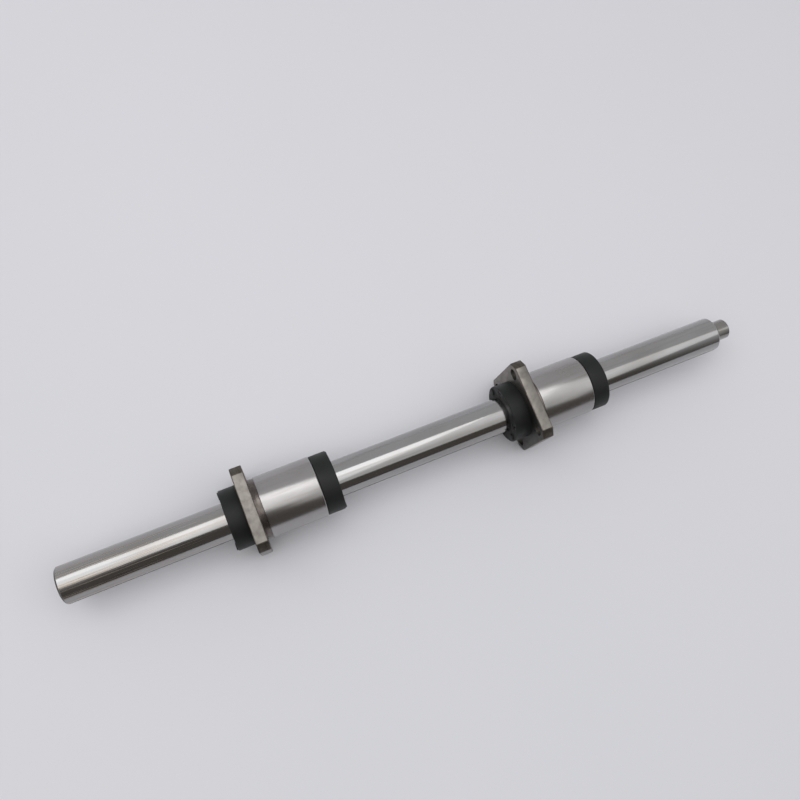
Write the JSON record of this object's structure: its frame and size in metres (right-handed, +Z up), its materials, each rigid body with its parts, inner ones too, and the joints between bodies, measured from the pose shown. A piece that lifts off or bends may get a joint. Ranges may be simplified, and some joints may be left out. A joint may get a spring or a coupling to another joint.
{
  "type": "ball spline shaft",
  "caption": "Ball spline: ground round shaft with a turned stub end and square-flanged recirculating-ball nuts with black end caps.",
  "frame": {"origin": "on the shaft's axis, halfway between its plain end and its stub end", "axes": "+X along the shaft towards the stub end, +Z up, with the flange flats level"},
  "size_m": [0.273, 0.031, 0.031],
  "materials": {
    "shaft_steel": "ground and polished",
    "nut_steel": "ground body, satin flange",
    "cap_resin": "moulded",
    "seal_rubber": "matte",
    "ball_steel": "polished",
    "wire_steel": "drawn",
    "screw_steel": "black oxide"
  },
  "bodies": {
    "shaft": {"spline_shaft": "shaft_steel"},
    "left_nut": {"left_flanged_sleeve": "nut_steel", "left_front_balls": "ball_steel", "left_back_balls": "ball_steel", "left_front_retainer_wires": "wire_steel", "left_back_retainer_wires": "wire_steel", "left_flange_end_cap": "cap_resin", "left_flange_end_seal": "seal_rubber", "left_flange_end_screws": "screw_steel", "left_tail_end_cap": "cap_resin", "left_tail_end_seal": "seal_rubber", "left_tail_end_screws": "screw_steel"},
    "right_nut": {"right_flanged_sleeve": "nut_steel", "right_front_balls": "ball_steel", "right_back_balls": "ball_steel", "right_front_retainer_wires": "wire_steel", "right_back_retainer_wires": "wire_steel", "right_flange_end_cap": "cap_resin", "right_flange_end_seal": "seal_rubber", "right_flange_end_screws": "screw_steel", "right_tail_end_cap": "cap_resin", "right_tail_end_seal": "seal_rubber", "right_tail_end_screws": "screw_steel"}
  },
  "joints": [
    {"name": "left_nut_slide", "type": "slide", "parent": "shaft", "child": "left_nut", "axis": [1, 0, 0], "range_m": [-0.057, 0.033]},
    {"name": "right_nut_slide", "type": "slide", "parent": "shaft", "child": "right_nut", "axis": [1, 0, 0], "range_m": [-0.033, 0.053]}
  ]
}
